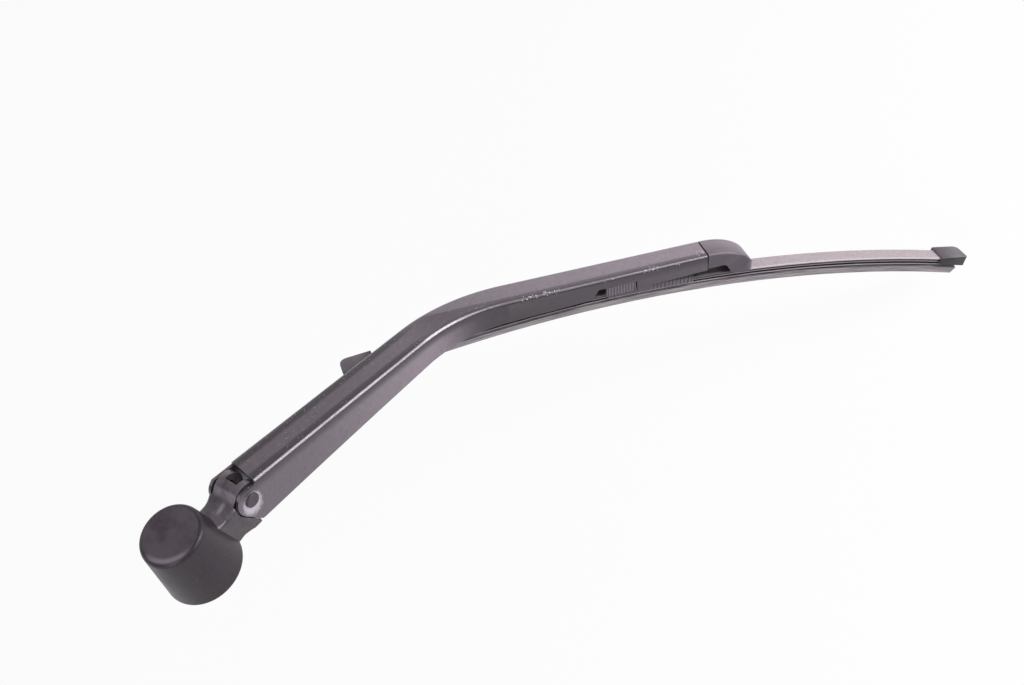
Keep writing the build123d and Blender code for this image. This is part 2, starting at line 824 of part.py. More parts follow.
# Bracket clamped on the rails, with the hub for the pivot pin
pivot_height = (pivot - blade_middle).dot(blade_up)
with BuildPart() as blade_bracket:
    with BuildSketch(bow_plane(bracket_from)):
        with Locations((0, (bracket_top - bracket_bottom) / 2)):
            Rectangle(2 * bracket_half_width, bracket_top + bracket_bottom)
    revolve(axis=bow_axis, revolution_arc=bow_angle(bracket_to - bracket_from))
    with BuildSketch(blade_side):
        Circle(hub_r)
        with Locations((0, -pivot_height + bracket_top - hub_half_width / 8)):
            Rectangle(2 * hub_foot, hub_half_width / 4)
        make_hull()
    extrude(amount=hub_half_width, both=True)
    with BuildSketch(blade_side):
        Circle(pivot_pin_r + running_clearance)
    extrude(amount=2 * hub_half_width, both=True, mode=Mode.SUBTRACT)
    # Grip grooves down both sides
    groove_step = (bracket_to - bracket_from) / bracket_groove_count
    for i in range(bracket_groove_count):
        with BuildSketch(bow_plane(bracket_from + (i + 0.5) * groove_step)):
            with Locations((-bracket_half_width, 0), (bracket_half_width, 0)):
                Rectangle(2 * grip_groove_depth, 4 * bracket_bottom)
        extrude(amount=grip_groove_width / 2, both=True, mode=Mode.SUBTRACT)
    with BuildSketch(bow_plane(bracket_from)):
        add(clamp_room())
    revolve(
        axis=bow_axis,
        revolution_arc=bow_angle(bracket_to - bracket_from),
        mode=Mode.SUBTRACT,
    )
save(blade_bracket, "blade_bracket")

# Adapter: body in the channel, cheeks for the pivot, release tabs and the nose
body_top = -sheet - adapter_top_gap
tab_outer_half = tip_half_width + notch_top * tan(flare)
with BuildPart() as blade_adapter:
    # Nose, rounded in side view and in plan
    with BuildSketch(tip_side):
        with BuildLine():
            Line((nose_gap, 0), (nose_flat, 0))
            EllipticalCenterArc(
                (nose_flat, -nose_depth),
                nose_length - nose_flat,
                nose_depth,
                start_angle=0,
                arc_size=90,
            )
            Line((nose_length, -nose_depth), (nose_lobe_start, -nose_lobe_drop))
            Spline(
                (nose_lobe_start, -nose_lobe_drop),
                (nose_belly_end, -nose_belly),
                tangents=((-1, 0), (-1, 0)),
            )
            Polyline((nose_belly_end, -nose_belly), (nose_gap, -nose_belly), (nose_gap, 0))
        make_face()
    extrude(amount=nose_half_width, both=True)
    front = blade_adapter.edges().filter_by(GeomType.ELLIPSE)
    fillet(front, nose_edge_radius)
    with BuildSketch(tip_plan) as nose_plan:
        with Locations(((nose_gap + nose_length) / 2, 0)):
            Rectangle(nose_length - nose_gap, 2 * nose_half_width)
        fillet(nose_plan.vertices().sort_by(Axis.X)[-2:], nose_corner_radius)
    extrude(amount=2 * nose_depth, both=True, mode=Mode.INTERSECT)
    # Hollowed cheeks, a shallow scoop running up towards the front
    scoop_turn = radians(scoop_deg)
    scoop_along = tip_along * cos(scoop_turn) + arm_up * sin(scoop_turn)
    scoop_middle = tip_side.from_local_coords((scoop_x, -scoop_drop))
    for side in (-1, 1):
        scoop_out = side * (nose_half_width - scoop_depth + scoop_radius)
        with BuildSketch(Plane(scoop_middle + tip_across * scoop_out, tip_across, scoop_along)):
            Circle(scoop_radius)
        extrude(amount=nose_length, both=True, mode=Mode.SUBTRACT)
    with BuildSketch(tip_side):
        with BuildLine():
            Polyline(
                (nose_gap, -2 * nose_depth),
                (nose_gap, -arch_roof),
                (nose_lobe_start, -arch_roof),
                (nose_length - nose_wall, -arch_front),
                (2 * nose_length, -arch_front),
                (2 * nose_length, -2 * nose_depth),
                (nose_gap, -2 * nose_depth),
            )
        make_face()
    extrude(amount=nose_half_width - nose_wall, both=True, mode=Mode.SUBTRACT)
    # Body, two side walls joined by bridges
    with BuildSketch(tip_side):
        Polygon(
            (-adapter_back, body_top),
            (-adapter_back, -adapter_skirt),
            (-pivot_back - adapter_cheek_half - hub_r, -adapter_skirt),
            (-pivot_back - adapter_cheek_half, -adapter_cheek_drop),
            (-pivot_back + adapter_cheek_half, -adapter_cheek_drop),
            (-pivot_back + adapter_cheek_half + hub_r, -adapter_skirt),
            (2 * nose_gap, -adapter_skirt),
            (2 * nose_gap, body_top),
            align=None,
        )
    extrude(amount=adapter_half_width, both=True)
    with BuildSketch(tip_plan):
        with Locations((-(adapter_back + adapter_bridge) / 2, 0)):
            Rectangle(adapter_back - 3 * adapter_bridge, 2 * adapter_inner_half)
    extrude(amount=2 * nose_depth, both=True, mode=Mode.SUBTRACT)
    # Release tabs, ribbed for the fingers
    tab_from = -notch_start + tab_back_gap
    tab_to = -notch_end - tab_front_gap
    for side in (-1, 1):
        tab_plane = Plane(
            origin=tip + tip_across * side * (tab_inner_half - adapter_top_gap),
            x_dir=tip_along,
            z_dir=tip_across * side,
        )
        with BuildSketch(tab_plane):
            low = side * tab_bottom
            high = side * (notch_top + adapter_top_gap)
            Polygon(
                (tab_from, high), (tab_from, low), (tab_to, low), (tab_to, high), align=None
            )
        extrude(amount=tab_outer_half - tab_inner_half)
        groove_step = (tab_to - tab_from) / tab_groove_count
        tab_face = tab_plane.offset(tab_outer_half - tab_inner_half)
        with BuildSketch(tab_face):
            for i in range(tab_groove_count):
                with Locations((tab_from + (i + 0.5) * groove_step, low)):
                    Rectangle(grip_groove_width, 4 * tab_bottom)
        extrude(amount=-grip_groove_depth, mode=Mode.SUBTRACT)
    with BuildSketch(tip_side):
        with Locations((-pivot_back, -pivot_drop)):
            Circle(pivot_pin_r + press_clearance)
    extrude(amount=2 * adapter_half_width, both=True, mode=Mode.SUBTRACT)
save(blade_adapter, "blade_adapter")
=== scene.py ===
import json
import math

import bmesh
import bpy
from mathutils import Matrix, Vector


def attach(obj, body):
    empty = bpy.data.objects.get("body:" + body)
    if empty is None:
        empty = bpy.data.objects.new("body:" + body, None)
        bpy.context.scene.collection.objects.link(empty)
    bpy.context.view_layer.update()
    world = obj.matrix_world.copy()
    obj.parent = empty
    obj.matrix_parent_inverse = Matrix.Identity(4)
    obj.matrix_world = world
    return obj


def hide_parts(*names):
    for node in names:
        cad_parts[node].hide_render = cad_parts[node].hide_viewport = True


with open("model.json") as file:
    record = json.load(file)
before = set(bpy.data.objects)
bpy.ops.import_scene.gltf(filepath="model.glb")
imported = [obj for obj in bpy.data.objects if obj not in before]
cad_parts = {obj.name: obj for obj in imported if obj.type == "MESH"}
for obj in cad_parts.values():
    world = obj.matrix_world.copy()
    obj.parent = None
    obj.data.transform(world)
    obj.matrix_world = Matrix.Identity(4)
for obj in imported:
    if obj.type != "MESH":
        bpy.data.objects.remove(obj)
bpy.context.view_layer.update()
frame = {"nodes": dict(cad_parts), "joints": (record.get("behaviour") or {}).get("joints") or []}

scene = bpy.context.scene
scene.view_settings.view_transform = "Standard"

# Head casting: zinc die casting with a boss for the spindle, a waisted neck and a forked knuckle.
# It is painted satin black all over. The paint is dulled on top, where painted light also makes it
# lighter, and thin on the rounded edges; painted highlights lie across the knuckle's shoulder and in
# a spot in the neck's saddle.


def smooth(mesh, sharp_from=None):
    """Shade a mesh smooth; corners that turn by more than sharp_from degrees stay sharp."""
    mesh.polygons.foreach_set("use_smooth", [True] * len(mesh.polygons))
    if sharp_from is not None:
        mesh.set_sharp_from_angle(angle=math.radians(sharp_from))


def coat(mesh, material):
    """Give a mesh one finish all over."""
    mesh.materials.clear()
    mesh.materials.append(material)


def dress(node, material, sharp_from=32.0):
    """Smooth a carried-over solid and give it its finish."""
    mesh = frame["nodes"][node].data
    smooth(mesh, sharp_from)
    coat(mesh, material)


def new_finish(name):
    """An empty material for one finish: the material, its node tree and its surface shader."""
    material = bpy.data.materials.new(name)
    material.use_nodes = True
    tree = material.node_tree
    return material, tree, tree.nodes["Principled BSDF"]


def feed(tree, value, socket):
    """Join a socket to another one, or set it to a plain value."""
    if isinstance(value, bpy.types.NodeSocket):
        tree.links.new(value, socket)
    else:
        socket.default_value = value


def number(tree, operation, *values):
    """The result of one sum on numbers, each a socket or a plain value."""
    node = tree.nodes.new("ShaderNodeMath")
    node.operation = operation
    for socket, value in zip(node.inputs, values):
        feed(tree, value, socket)
    return node.outputs[0]


def times(tree, first, second):
    return number(tree, "MULTIPLY", first, second)


def graded(tree, value, gain, start):
    """Start plus gain times the value."""
    return number(tree, "MULTIPLY_ADD", value, gain, start)


def without(tree, value):
    """1 where the value is 0, and 0 where it is 1."""
    return number(tree, "SUBTRACT", 1.0, value)


def vector(tree, operation, *values):
    """The outputs of one sum on vectors, each a socket or a plain value."""
    node = tree.nodes.new("ShaderNodeVectorMath")
    node.operation = operation
    for socket, value in zip(node.inputs, values):
        feed(tree, value, socket)
    return node.outputs


def ramp_between(tree, value, limits):
    """0 below the first limit, 1 above the second, smooth between."""
    node = tree.nodes.new("ShaderNodeMapRange")
    node.interpolation_type = "SMOOTHSTEP"
    node.inputs["From Min"].default_value = limits[0]
    node.inputs["From Max"].default_value = limits[1]
    tree.links.new(value, node.inputs["Value"])
    return node.outputs["Result"]


def lean(tree, direction):
    """How far the surface faces a direction: 1 when square to it, 0 when edge on."""
    normal = tree.nodes.new("ShaderNodeNewGeometry").outputs["Normal"]
    return vector(tree, "DOT_PRODUCT", normal, direction)["Value"]


def place_on_piece(tree):
    return tree.nodes.new("ShaderNodeTexCoord").outputs["Object"]


def mottle(tree, where, scale, detail=4.0, rough=0.55):
    """Cloudy unevenness about the middle value 0.5."""
    node = tree.nodes.new("ShaderNodeTexNoise")
    feed(tree, scale, node.inputs["Scale"])
    node.inputs["Detail"].default_value = detail
    node.inputs["Roughness"].default_value = rough
    tree.links.new(where, node.inputs["Vector"])
    return node.outputs["Fac"]


def blend_colour(tree, amount, first, second):
    """A colour that goes from the first to the second as the amount goes from 0 to 1."""
    node = tree.nodes.new("ShaderNodeMix")
    node.data_type = "RGBA"
    tree.links.new(amount, node.inputs["Factor"])
    for label, colour in (("A", first), ("B", second)):
        socket = next(s for s in node.inputs if s.name == label and s.type == "RGBA")
        feed(tree, (*colour, 1.0) if isinstance(colour, tuple) else colour, socket)
    return next(s for s in node.outputs if s.type == "RGBA")


def effect(name, inputs, outputs):
    """A shared effect: its inputs with their usual values, and its outputs, all plain numbers."""
    group = bpy.data.node_groups.new(name, "ShaderNodeTree")
    for label, usual in inputs.items():
        socket = group.interface.new_socket(label, in_out="INPUT", socket_type="NodeSocketFloat")
        socket.default_value = usual
    for label in outputs:
        group.interface.new_socket(label, in_out="OUTPUT", socket_type="NodeSocketFloat")
    return group, group.nodes.new("NodeGroupInput"), group.nodes.new("NodeGroupOutput")


def place_effect(tree, group, values):
    """Put a shared effect into a finish, with that finish's values."""
    node = tree.nodes.new("ShaderNodeGroup")
    node.node_tree = group
    for label, value in values.items():
        node.inputs[label].default_value = value
    return node.outputs


# Rubbed edges: where the surface turns sharply, broken up so that it comes and goes
edge_turn = (0.015, 0.16)
edge_patches = (0.42, 0.66)
edge_rub, enter, leave = effect(
    "edge_rub", {"Width": 0.0006, "Patch Scale": 220.0, "Amount": 0.5}, ["Mask"]
)
rounded = edge_rub.nodes.new("ShaderNodeBevel")
rounded.samples = 6
edge_rub.links.new(enter.outputs["Width"], rounded.inputs["Radius"])
surface = edge_rub.nodes.new("ShaderNodeNewGeometry")
turn = vector(edge_rub, "DOT_PRODUCT", rounded.outputs["Normal"], surface.outputs["Normal"])["Value"]
turned_away = ramp_between(edge_rub, without(edge_rub, turn), edge_turn)
patches = mottle(
    edge_rub, place_on_piece(edge_rub), enter.outputs["Patch Scale"], detail=5.0, rough=0.5
)
worn_through = times(edge_rub, turned_away, ramp_between(edge_rub, patches, edge_patches))
edge_rub.links.new(times(edge_rub, worn_through, enter.outputs["Amount"]), leave.inputs["Mask"])

# Specks: small round spots, only some of the places that could have one
specks, enter, leave = effect("specks", {"Scale": 500.0, "Share": 0.1, "Size": 0.25}, ["Mask"])
cells = specks.nodes.new("ShaderNodeTexVoronoi")
specks.links.new(place_on_piece(specks), cells.inputs["Vector"])
specks.links.new(enter.outputs["Scale"], cells.inputs["Scale"])
chosen = specks.nodes.new("ShaderNodeSeparateColor")
specks.links.new(cells.outputs["Color"], chosen.inputs["Color"])
wanted = number(specks, "LESS_THAN", chosen.outputs["Red"], enter.outputs["Share"])
reach = times(specks, enter.outputs["Size"], chosen.outputs["Green"])
inside = number(specks, "LESS_THAN", cells.outputs["Distance"], reach)
specks.links.new(times(specks, wanted, inside), leave.inputs["Mask"])

# Grain: fine unevenness of a painted or moulded skin for its bump, and broad for its gloss
skin_grain, enter, leave = effect(
    "skin_grain", {"Scale": 2500.0, "Broad Scale": 90.0}, ["Height", "Broad"]
)
where = place_on_piece(skin_grain)
fine = mottle(skin_grain, where, enter.outputs["Scale"], detail=3.0, rough=0.5)
broad = mottle(skin_grain, where, enter.outputs["Broad Scale"], detail=6.0, rough=0.62)
skin_grain.links.new(fine, leave.inputs["Height"])
skin_grain.links.new(broad, leave.inputs["Broad"])


def rub_on(tree, width, patch_scale, amount):
    values = {"Width": width, "Patch Scale": patch_scale, "Amount": amount}
    return place_effect(tree, edge_rub, values)["Mask"]


def specks_on(tree, scale, share, size):
    values = {"Scale": scale, "Share": share, "Size": size}
    return place_effect(tree, specks, values)["Mask"]


def grain_on(tree, fine_scale, broad_scale):
    grain = place_effect(tree, skin_grain, {"Scale": fine_scale, "Broad Scale": broad_scale})
    return grain["Height"], grain["Broad"]


def finish_skin(tree, shader, colour, fine, broad, gloss, depth, strength=0.4):
    """Join a finish to its shader: its colour, a gloss that follows the broad grain, the fine bump."""
    tree.links.new(colour, shader.inputs["Base Color"])
    sheen = tree.nodes.new("ShaderNodeMapRange")
    spread = {"From Min": 0.3, "From Max": 0.7, "To Min": gloss[0], "To Max": gloss[1]}
    for label, value in spread.items():
        sheen.inputs[label].default_value = value
    tree.links.new(broad, sheen.inputs["Value"])
    tree.links.new(sheen.outputs["Result"], shader.inputs["Roughness"])
    bump = tree.nodes.new("ShaderNodeBump")
    bump.inputs["Distance"].default_value = depth
    bump.inputs["Strength"].default_value = strength
    tree.links.new(fine, bump.inputs["Height"])
    tree.links.new(bump.outputs["Normal"], shader.inputs["Normal"])


casting_black = (0.026, 0.021, 0.026)
casting_cloudy = (0.062, 0.051, 0.062)
casting_dulled_and_lit = (0.30, 0.255, 0.30)
casting_highlight = (0.36, 0.305, 0.36)
casting_speck = (0.24, 0.21, 0.24)
casting_edge = (0.34, 0.30, 0.34)
casting_edge_metal = 0.4
cloud_limits = (0.20, 0.80)
upwards = Vector((0.0, 0.0, 1.0))
upper_lean = (0.3, 0.7)
to_spindle = Vector((-1.0, 0.0, 0.0))
shoulder_lean = (0.36, 0.60)
saddle_spot = Vector((0.0213, -0.0014, 0.0161))
spot_stretch = Vector((0.45, 1.0, 0.45))
spot_radius = (0.0001, 0.0019)

casting_paint, tree, shader = new_finish("casting_paint")
fine, broad = grain_on(tree, fine_scale=900.0, broad_scale=240.0)
cloud = ramp_between(tree, broad, cloud_limits)
paint = blend_colour(tree, cloud, casting_black, casting_cloudy)
upper = ramp_between(tree, lean(tree, upwards), upper_lean)
# Lighter on top: dulled paint, with painted light from above as well
dulled_and_lit = times(tree, upper, graded(tree, cloud, gain=0.30, start=0.10))
paint = blend_colour(tree, dulled_and_lit, paint, casting_dulled_and_lit)
# Painted highlights: a band across the knuckle's shoulder, and a spot in the neck's saddle
shoulder = times(tree, ramp_between(tree, lean(tree, to_spindle), shoulder_lean), upper)
squeezed = vector(tree, "MULTIPLY", place_on_piece(tree), spot_stretch)["Vector"]
from_spot = vector(tree, "DISTANCE", squeezed, spot_stretch * saddle_spot)["Value"]
in_saddle = without(tree, ramp_between(tree, from_spot, spot_radius))
pale_sheen = number(tree, "MAXIMUM", shoulder, in_saddle)
pale_sheen = times(tree, pale_sheen, graded(tree, cloud, gain=0.8, start=0.4))
paint = blend_colour(tree, pale_sheen, paint, casting_highlight)
spots = specks_on(tree, scale=1100.0, share=0.06, size=0.3)
paint = blend_colour(tree, spots, paint, casting_speck)
rub = rub_on(tree, width=0.0009, patch_scale=260.0, amount=0.55)
paint = blend_colour(tree, rub, paint, casting_edge)
tree.links.new(times(tree, rub, casting_edge_metal), shader.inputs["Metallic"])
finish_skin(tree, shader, paint, fine, broad, gloss=(0.24, 0.42), depth=0.00008, strength=0.5)
shader.inputs["Specular Tint"].default_value = (1.0, 0.9, 1.0, 1.0)
shader.inputs["Coat Weight"].default_value = 0.3
shader.inputs["Coat Roughness"].default_value = 0.25
dress("arm_head", casting_paint)

# Spring pin and flanged bushes: the pin is bright drawn steel, the bushes are turned brass, dark with
# grease. Both are pressed into the fork, so only their ends and flanges show.


def metal_finish(name, grain, colours, metal, gloss, depth):
    """A bare or plated metal with two colours that follow its broad grain."""
    material, tree, shader = new_finish(name)
    fine, broad = grain_on(tree, *grain)
    colour = blend_colour(tree, broad, *colours)
    shader.inputs["Metallic"].default_value = metal
    finish_skin(tree, shader, colour, fine, broad, gloss, depth)
    return material


bright_pin = metal_finish(
    "bright_pin",
    grain=(1800.0, 260.0),
    colours=((0.34, 0.33, 0.33), (0.52, 0.51, 0.50)),
    metal=1.0,
    gloss=(0.25, 0.45),
    depth=0.00004,
)
dress("spring_pin", bright_pin)

bush_brass = metal_finish(
    "bush_brass",
    grain=(1600.0, 320.0),
    colours=((0.05, 0.038, 0.026), (0.17, 0.125, 0.07)),
    metal=1.0,
    gloss=(0.3, 0.5),
    depth=0.00004,
)
for bush in ("hinge_bush_near", "hinge_bush_far"):
    dress(bush, bush_brass)

# Round cover: a moulded thimble in black plastic with a fine satin skin, pushed over the boss.
# Its flat top is greyed by handling and lightened by a painted sheen, with a painted highlight in a
# crescent inside the rim, on one side.


def measure_along(tree, where, origin, direction):
    """Distance of a surface point from origin, along a direction."""
    shift = vector(tree, "SUBTRACT", where, origin)["Vector"]
    return vector(tree, "DOT_PRODUCT", shift, direction)["Value"]


def distance_round(tree, where, centre, plane):
    """Distance of a surface point from an axis; plane has 1 for the two directions square to it."""
    shift = vector(tree, "SUBTRACT", where, centre)["Vector"]
    flat = vector(tree, "MULTIPLY", shift, plane)["Vector"]
    return vector(tree, "LENGTH", flat)["Value"]


def band_between(tree, value, rise, fall):
    """1 between two ramps, 0 on both sides of them."""
    return number(tree, "SUBTRACT", ramp_between(tree, value, rise), ramp_between(tree, value, fall))


cover_black = (0.008, 0.0065, 0.008)
cover_freckle = (0.030, 0.024, 0.030)
cover_handled_sheen = (0.078, 0.063, 0.078)
cover_rim_highlight = (0.21, 0.173, 0.21)
cover_speck = (0.08, 0.07, 0.08)
cover_edge = (0.1, 0.088, 0.1)
freckle_limits = (0.36, 0.64)
disc_lean = (0.9, 0.99)
disc_patch_limits = (0.36, 0.60)
spindle = Vector((0.0, 0.0, 0.0))
level_plane = (1.0, 1.0, 0.0)
highlight_inside = (0.0098, 0.0116)
highlight_outside = (0.0120, 0.0134)
highlight_side = Vector((-0.82, -0.57, 0.0))
highlight_to_side = (0.0066, 0.0112)
highlight_height = (0.026, 0.029)
highlight_amount = 0.85

cover_skin, tree, shader = new_finish("cover_skin")
where = place_on_piece(tree)
fine, broad = grain_on(tree, fine_scale=2600.0, broad_scale=70.0)
freckle = graded(tree, fine, gain=0.75, start=times(tree, broad, 0.25))
skin = blend_colour(tree, ramp_between(tree, freckle, freckle_limits), cover_black, cover_freckle)
# Flat top lighter: grey from handling, and a painted sheen
on_disc = ramp_between(tree, lean(tree, upwards), disc_lean)
pale_sheen = graded(tree, ramp_between(tree, broad, disc_patch_limits), gain=0.6, start=0.4)
skin = blend_colour(tree, times(tree, pale_sheen, on_disc), skin, cover_handled_sheen)
# Painted highlight: a crescent inside the rim, on one side of the flat top
from_axis = distance_round(tree, where, spindle, level_plane)
toward_highlight = measure_along(tree, where, spindle, highlight_side)
raised = measure_along(tree, where, spindle, upwards)
highlight_crescent = band_between(tree, from_axis, rise=highlight_inside, fall=highlight_outside)
highlight_crescent = times(tree, highlight_crescent, ramp_between(tree, toward_highlight, highlight_to_side))
highlight_crescent = times(tree, highlight_crescent, ramp_between(tree, raised, highlight_height))
skin = blend_colour(tree, times(tree, highlight_crescent, highlight_amount), skin, cover_rim_highlight)
spots = specks_on(tree, scale=900.0, share=0.035, size=0.28)
skin = blend_colour(tree, spots, skin, cover_speck)
rub = rub_on(tree, width=0.0014, patch_scale=420.0, amount=0.25)
skin = blend_colour(tree, rub, skin, cover_edge)
finish_skin(tree, shader, skin, fine, broad, gloss=(0.33, 0.46), depth=0.00006, strength=0.5)
shader.inputs["Specular IOR Level"].default_value = 0.46
shader.inputs["Specular Tint"].default_value = (1.0, 0.88, 1.0, 1.0)
dress("head_cover", cover_skin)

# Channel of the arm: one pressing of steel sheet, painted gloss black.
# Road dirt has left a grey film on it, grit has chipped its front corner towards the tip, and the paint
# is bare in a ring round the rivet. Light is painted on it too: a highlight along the front corner,
# dark reflection bands on the top and under the corner, and film lighter where the light falls.
joints = {joint["name"]: joint for joint in frame["joints"]}
hinge = Vector(joints["arm_lift"]["pos_m"])
arm_slope = math.radians(21.8)
arm_along = Vector((math.cos(arm_slope), 0.0, -math.sin(arm_slope)))
arm_up = Vector((math.sin(arm_slope), 0.0, math.cos(arm_slope)))
far_side = Vector((0.0, 1.0, 0.0))
pivot = Vector(joints["blade_rock"]["pos_m"])
pivot_back = 0.027
pivot_drop = 0.0054
tip_across = Vector(joints["blade_rock"]["axis"])
tip_along = tip_across.cross(arm_up)
tip = pivot + tip_along * pivot_back + arm_up * pivot_drop
top_lean = (0.80, 0.99)
flank_lean = (0.06, 0.30)
second_stretch_from = (0.100, 0.135)

channel_paint, tree, shader = new_finish("channel_paint")
where = place_on_piece(tree)
fine, broad = grain_on(tree, fine_scale=1100.0, broad_scale=420.0)
upright = lean(tree, arm_up)
on_top = ramp_between(tree, upright, top_lean)
on_flank = without(tree, ramp_between(tree, upright, flank_lean))
from_hinge = measure_along(tree, where, hinge, arm_along)
to_far_first = measure_along(tree, where, hinge, far_side)
to_front_first = measure_along(tree, where, hinge, -far_side)
to_front_tip = measure_along(tree, where, tip, -tip_across)
below_top = measure_along(tree, where, tip, -arm_up)
second_stretch = ramp_between(tree, from_hinge, second_stretch_from)

# Film on the channel's top: it thickens towards the tip, which also paints in the top's brighter
# reflection there; painted dark reflection bands are left free of film on each side of the first
# stretch and along the front of the second
top_film_and_sheen_run = (0.05, 0.25)
far_dark_rise = (0.0020, 0.0040)
far_dark_fall = (0.0052, 0.0074)
front_dark_first = (0.0034, 0.0050)
front_dark_second = (0.0030, 0.0046)
second_dark_amount = 0.72
top_film_and_sheen = graded(tree, ramp_between(tree, from_hinge, top_film_and_sheen_run), gain=0.62, start=0.32)
top_film_and_sheen = times(tree, top_film_and_sheen, on_top)
far_band = band_between(tree, to_far_first, rise=far_dark_rise, fall=far_dark_fall)
dark_bands = number(tree, "MAXIMUM", far_band, ramp_between(tree, to_front_first, front_dark_first))
dark_bands = times(tree, dark_bands, without(tree, second_stretch))
front_band = times(tree, ramp_between(tree, to_front_tip, front_dark_second), second_stretch)
dark_bands = number(tree, "MAXIMUM", dark_bands, times(tree, front_band, second_dark_amount))
top_film_and_sheen = times(tree, top_film_and_sheen, graded(tree, dark_bands, gain=-0.92, start=1.0))

# Film on the channel's flanks: thickest before the bend, thin beyond it, which also paints the first
# flank lighter where the light falls on it; a painted dark reflection line under the corner is left
# free of film
flank_film_and_light_run = (0.02, 0.12)
bend_run = (0.118, 0.150)
beyond_bend_run = (0.15, 0.25)
beyond_bend_amount = 0.18
dark_line_depth = (0.0022, 0.0062)
flank_film_and_light = graded(tree, ramp_between(tree, from_hinge, flank_film_and_light_run), gain=0.40, start=0.30)
before_bend = without(tree, ramp_between(tree, from_hinge, bend_run))
beyond_bend = times(tree, ramp_between(tree, from_hinge, beyond_bend_run), beyond_bend_amount)
flank_film_and_light = number(tree, "ADD", times(tree, flank_film_and_light, before_bend), beyond_bend)
dark_reflection_line = graded(tree, ramp_between(tree, below_top, dark_line_depth), gain=0.95, start=0.05)
flank_film_and_light = times(tree, times(tree, flank_film_and_light, on_flank), dark_reflection_line)

# Paint of the channel under its film and painted light, with dust specks on the top and rubbed edges
channel_black = (0.030, 0.025, 0.030)
channel_cloudy = (0.048, 0.040, 0.048)
channel_film_and_light = (0.28, 0.230, 0.275)
channel_dust = (0.46, 0.42, 0.46)
channel_edge = (0.30, 0.26, 0.30)
dust_amount = 0.6
film_and_light = number(tree, "ADD", top_film_and_sheen, flank_film_and_light)
film_and_light = times(tree, film_and_light, graded(tree, broad, gain=0.7, start=0.65))
paint = blend_colour(tree, broad, channel_black, channel_cloudy)
paint = blend_colour(tree, film_and_light, paint, channel_film_and_light)
dust = times(tree, specks_on(tree, scale=1300.0, share=0.2, size=0.34), on_top)
paint = blend_colour(tree, times(tree, dust, dust_amount), paint, channel_dust)
rub = rub_on(tree, width=0.0005, patch_scale=150.0, amount=0.45)
paint = blend_colour(tree, rub, paint, channel_edge)

# Painted highlight along the channel's front corner, brightest round the bend and uneven along its
# length
channel_corner_highlight = (0.62, 0.55, 0.62)
front_corner = Vector((-0.25, -0.95, 0.1))
front_lean = (0.12, 0.28)
corner_rise = (0.42, 0.58)
corner_fall = (0.80, 0.93)
bright_rise = (0.106, 0.120)
bright_fall = (0.128, 0.148)
thinning_run = (0.120, 0.150)
corner_highlight = band_between(tree, upright, rise=corner_rise, fall=corner_fall)
corner_highlight = times(tree, corner_highlight, ramp_between(tree, lean(tree, front_corner), front_lean))
round_bend = band_between(tree, from_hinge, rise=bright_rise, fall=bright_fall)
thinned = graded(tree, ramp_between(tree, from_hinge, thinning_run), gain=-0.32, start=0.54)
corner_highlight = times(tree, corner_highlight, graded(tree, round_bend, gain=0.5, start=thinned))
uneven = graded(tree, mottle(tree, where, scale=60.0, detail=3.0), gain=0.9, start=0.55)
paint = blend_colour(tree, times(tree, corner_highlight, uneven), paint, channel_corner_highlight)

# Stone chips: clusters along the front corner of the channel's outer half, and at the tip's edge
channel_chip = (0.78, 0.74, 0.78)
chip_to_front = (0.0050, 0.0062)
chip_depth = (0.0006, 0.0022)
chip_run = (0.13, 0.17)
chip_clusters = (0.49, 0.56)
tip_edge_run = (-0.0080, -0.0010)
tip_edge_to_front = (0.0, 0.005)
corner = ramp_between(tree, to_front_tip, chip_to_front)
corner = times(tree, corner, without(tree, ramp_between(tree, below_top, chip_depth)))
corner = times(tree, corner, ramp_between(tree, from_hinge, chip_run))
cluster = ramp_between(tree, mottle(tree, where, scale=90.0, detail=3.0), chip_clusters)
along_tip = measure_along(tree, where, tip, tip_along)
edge = times(tree, ramp_between(tree, along_tip, tip_edge_run), on_top)
edge = times(tree, edge, ramp_between(tree, to_front_tip, tip_edge_to_front))
chipped = number(tree, "MAXIMUM", times(tree, corner, cluster), edge)
chipped = times(tree, chipped, specks_on(tree, scale=1500.0, share=0.45, size=0.6))
paint = blend_colour(tree, chipped, paint, channel_chip)

# Bare ring in the channel's paint round the rivet, with a ragged edge, widest below the rivet
channel_bare = (0.50, 0.45, 0.515)
bare_metal = 0.4
side_plane = (1.0, 0.0, 1.0)
ring_wide_side = arm_along * 0.05 - arm_up
ring_radius = (0.0034, 0.0058)
ring = distance_round(tree, where, hinge, side_plane)
ring = graded(tree, measure_along(tree, where, hinge, ring_wide_side), gain=-0.38, start=ring)
ragged = graded(tree, mottle(tree, where, scale=520.0), gain=0.0030, start=-0.0015)
bared = without(tree, ramp_between(tree, number(tree, "ADD", ring, ragged), ring_radius))
paint = blend_colour(tree, bared, paint, channel_bare)
tree.links.new(times(tree, bared, bare_metal), shader.inputs["Metallic"])
finish_skin(tree, shader, paint, fine, broad, gloss=(0.26, 0.40), depth=0.00006)
shader.inputs["Specular Tint"].default_value = (1.0, 0.9, 1.0, 1.0)
shader.inputs["Coat Weight"].default_value = 0.3
shader.inputs["Coat Roughness"].default_value = 0.18
dress("arm_channel", channel_paint)

# Hinge rivet: a steel rivet put through the channel's ears and the head's fork, upset on both sides.
# Its heads have gone dark with grease and road dirt, and are rubbed bright in places on their edges.
rivet_black = (0.04, 0.033, 0.042)
rivet_grey = (0.10, 0.085, 0.105)
rivet_edge = (0.35, 0.33, 0.35)

